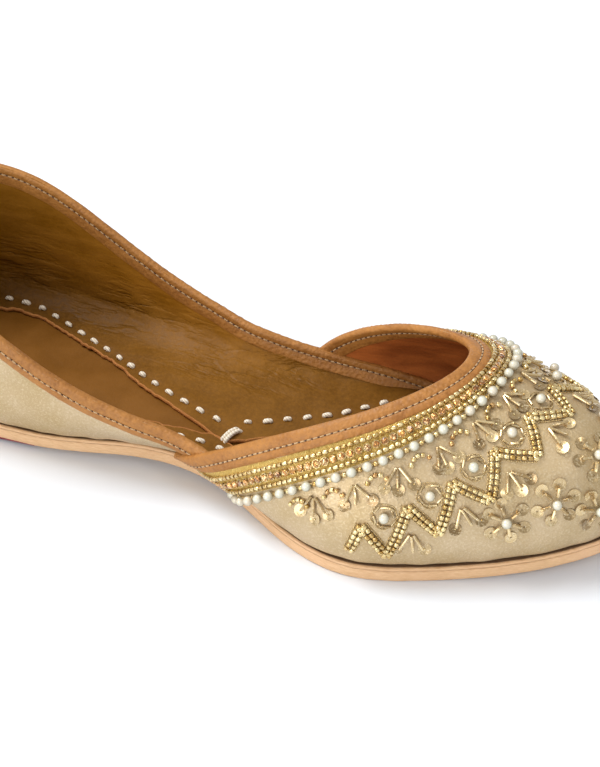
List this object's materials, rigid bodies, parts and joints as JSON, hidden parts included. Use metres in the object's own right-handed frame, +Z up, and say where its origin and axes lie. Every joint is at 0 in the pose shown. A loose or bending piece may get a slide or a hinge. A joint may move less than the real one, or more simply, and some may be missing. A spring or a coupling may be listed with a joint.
{
  "type": "mojari shoe",
  "caption": "Flat left slip-on mojari with an open low collar, an overlapping beaded vamp, a leather sole with a thin heel lift and a flat insole.",
  "frame": {"origin": "on the ground, below the middle of the shoe's bounding box", "axes": "+X from heel to toe, +Y to the little-toe side, +Z up"},
  "size_m": [0.2456, 0.0792, 0.0578],
  "materials": {
    "sole_leather": "natural tan sole leather with a burnished cut edge",
    "lift_rubber": "matte dark red sheet",
    "insole_leather": "smooth brown, satin",
    "gold_skin": "pale gold foil cloth with a soft metallic sheen",
    "lining_leather": "brown lining leather, fine grain, semi-matte",
    "binding_leather": "tan folded binding, fine grain, satin",
    "cotton_thread": "thick white cotton hand stitches and beige seam thread",
    "pearl": "cream imitation pearl, glossy",
    "gold_bead": "gold-lined glass seed and bugle beads, glossy",
    "amber_stone": "faceted amber stones in gold cups",
    "sequin": "cupped metallic sequins, champagne to olive grey",
    "gold_wire": "twisted gold and copper embroidery wire"
  },
  "bodies": {
    "root": {"outsole": "sole_leather", "heel_lift": "lift_rubber", "insole": "insole_leather", "upper": "gold_skin"}
  },
  "joints": []
}
